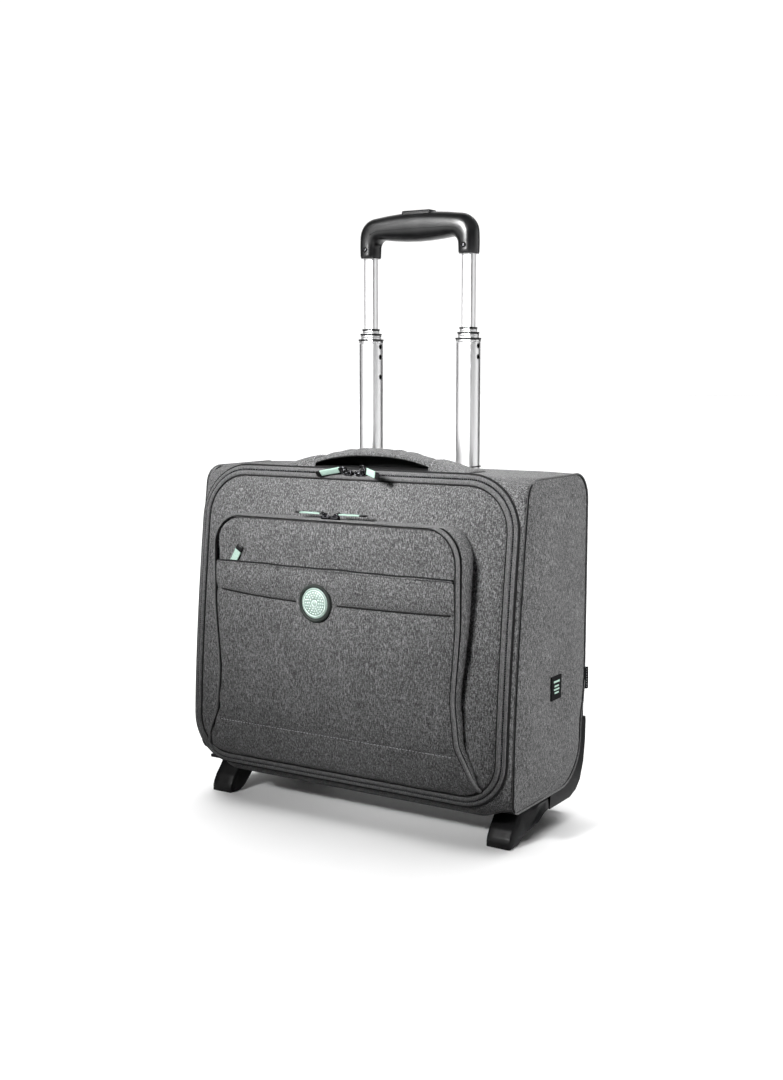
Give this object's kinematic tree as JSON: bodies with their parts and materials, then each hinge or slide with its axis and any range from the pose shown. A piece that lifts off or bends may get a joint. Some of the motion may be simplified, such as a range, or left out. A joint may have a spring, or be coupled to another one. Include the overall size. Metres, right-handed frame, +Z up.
{
  "type": "rolling laptop case",
  "caption": "Soft grey fabric case for a laptop with a zipped front lid and pocket, a carry handle, a telescopic trolley handle, rear wheels and front feet.",
  "frame": {"origin": "on the floor under the middle of the bounding box", "axes": "+Z up, the case's front with its pocket faces -Y, the wheels and the trolley handle are at +Y, +X is the side at the right of someone looking at the front"},
  "size_m": [0.4212, 0.2124, 0.6795],
  "materials": {
    "fabric": "heather grey woven polyester, matte",
    "lining": "dark padded lining",
    "board": "stiff board",
    "plastic": "satin black moulded plastic",
    "grip_plastic": "smooth black moulded plastic",
    "tyre": "soft black polyurethane tread",
    "hub": "grey moulded plastic",
    "aluminium": "satin anodised",
    "steel": "plain steel",
    "zip_metal": "dark plated metal",
    "mint": "pale mint enamel and woven fabric"
  },
  "bodies": {
    "case": {"side_panel_left": "fabric", "side_panel_right": "fabric", "top_panel": "fabric", "back_panel": "fabric", "bottom_panel": "fabric", "front_frame": "fabric", "back_board": "board", "laptop_divider": "lining", "base_board": "board", "carry_handle": "fabric", "wheel_housing_left": "plastic", "wheel_housing_right": "plastic", "axle_left": "steel", "axle_right": "steel", "foot_left": "plastic", "foot_right": "plastic", "guide_tube_left": "steel", "guide_tube_right": "steel", "tube_base_bracket": "plastic"},
    "wheel_left": {"tyre_left": "tyre", "wheel_hub_left": "hub", "bearing_left": "steel"},
    "wheel_right": {"tyre_right": "tyre", "wheel_hub_right": "hub", "bearing_right": "steel"},
    "handle": {"stage4_tube_left": "aluminium", "stage4_tube_right": "aluminium", "grip_front_shell": "grip_plastic", "grip_rear_shell": "grip_plastic", "grip_screw_left": "zip_metal", "grip_screw_right": "zip_metal"},
    "button": {"push_button": "plastic", "lock_yoke": "steel"},
    "lid": {"front_panel": "fabric", "pocket_gusset": "fabric"},
    "pocket": {"pocket_front": "fabric", "slash_panel": "fabric", "badge": "mint"},
    "slash_slider": {"slash_slider": "zip_metal"},
    "slash_puller": {"slash_puller": "mint"},
    "stage1": {"stage1_tube_left": "aluminium", "stage1_tube_right": "aluminium", "stage1_ferrule_left": "plastic", "stage1_ferrule_right": "plastic"},
    "stage2": {"stage2_tube_left": "aluminium", "stage2_tube_right": "aluminium", "stage2_ferrule_left": "plastic", "stage2_ferrule_right": "plastic"},
    "stage3": {"stage3_tube_left": "aluminium", "stage3_tube_right": "aluminium", "stage3_ferrule_left": "plastic", "stage3_ferrule_right": "plastic"},
    "main_slider_left": {"main_slider_left": "zip_metal"},
    "main_puller_left": {"main_puller_left": "mint"},
    "pocket_slider_left": {"pocket_slider_left": "zip_metal"},
    "pocket_puller_left": {"pocket_puller_left": "mint"},
    "main_slider_right": {"main_slider_right": "zip_metal"},
    "main_puller_right": {"main_puller_right": "mint"},
    "pocket_slider_right": {"pocket_slider_right": "zip_metal"},
    "pocket_puller_right": {"pocket_puller_right": "mint"}
  },
  "joints": [
    {"name": "wheel_left_spin", "type": "hinge", "parent": "case", "child": "wheel_left", "pos_m": [-0.1525, 0.0722, 0.034], "axis": [1, 0, 0], "continuous": true},
    {"name": "wheel_right_spin", "type": "hinge", "parent": "case", "child": "wheel_right", "pos_m": [0.1525, 0.0722, 0.034], "axis": [1, 0, 0], "continuous": true},
    {"name": "stage1_slide", "type": "slide", "parent": "case", "child": "stage1", "axis": [0, 0, 1], "range_m": [-0.14, 0]},
    {"name": "stage2_slide", "type": "slide", "parent": "stage1", "child": "stage2", "axis": [0, 0, 1], "range_m": [0, 0.145]},
    {"name": "stage3_slide", "type": "slide", "parent": "stage2", "child": "stage3", "axis": [0, 0, 1], "range_m": [0, 0.145]},
    {"name": "handle_slide", "type": "slide", "parent": "stage3", "child": "handle", "axis": [0, 0, 1], "range_m": [-0.08, 0.065]},
    {"name": "button_press", "type": "slide", "parent": "handle", "child": "button", "axis": [0, 0, -1], "range_m": [0, 0.004], "stiffness_N_per_m": 700, "springref_m": -0.002},
    {"name": "lid_open", "type": "hinge", "parent": "case", "child": "lid", "pos_m": [0, -0.0858, 0.0535], "axis": [1, 0, 0], "range_deg": [0, 75]},
    {"name": "pocket_open", "type": "hinge", "parent": "lid", "child": "pocket", "pos_m": [0, -0.0921, 0.064], "axis": [1, 0, 0], "range_deg": [0, 55]},
    {"name": "main_slider_right_slide", "type": "slide", "parent": "lid", "child": "main_slider_right", "axis": [1, 0, 0], "range_m": [0, 0.1]},
    {"name": "main_puller_right_swing", "type": "hinge", "parent": "main_slider_right", "child": "main_puller_right", "pos_m": [0.012, -0.06337, 0.3866], "axis": [0.1547, -0.0788, 0.9848], "range_deg": [-60, 27]},
    {"name": "main_slider_left_slide", "type": "slide", "parent": "lid", "child": "main_slider_left", "axis": [1, 0, 0], "range_m": [-0.1, 0]},
    {"name": "main_puller_left_swing", "type": "hinge", "parent": "main_slider_left", "child": "main_puller_left", "pos_m": [-0.004, -0.06337, 0.3866], "axis": [-0.1821, 0, 0.9833], "range_deg": [0, 90]},
    {"name": "pocket_slider_right_slide", "type": "slide", "parent": "pocket", "child": "pocket_slider_right", "axis": [1, 0, 0], "range_m": [0, 0.095]},
    {"name": "pocket_puller_right_swing", "type": "hinge", "parent": "pocket_slider_right", "child": "pocket_puller_right", "pos_m": [-0.0047, -0.08423, 0.341], "axis": [0, 1, 0], "range_deg": [-90, 0]},
    {"name": "pocket_slider_left_slide", "type": "slide", "parent": "pocket", "child": "pocket_slider_left", "axis": [1, 0, 0], "range_m": [-0.095, 0]},
    {"name": "pocket_puller_left_swing", "type": "hinge", "parent": "pocket_slider_left", "child": "pocket_puller_left", "pos_m": [-0.0163, -0.08423, 0.341], "axis": [0, 1, 0], "range_deg": [0, 90]},
    {"name": "slash_slider_slide", "type": "slide", "parent": "pocket", "child": "slash_slider", "axis": [1, 0, 0], "range_m": [0, 0.27]},
    {"name": "slash_puller_swing", "type": "hinge", "parent": "slash_slider", "child": "slash_puller", "pos_m": [-0.134, -0.10045, 0.2866], "axis": [0.927, 0, -0.375], "range_deg": [0, 90]}
  ]
}
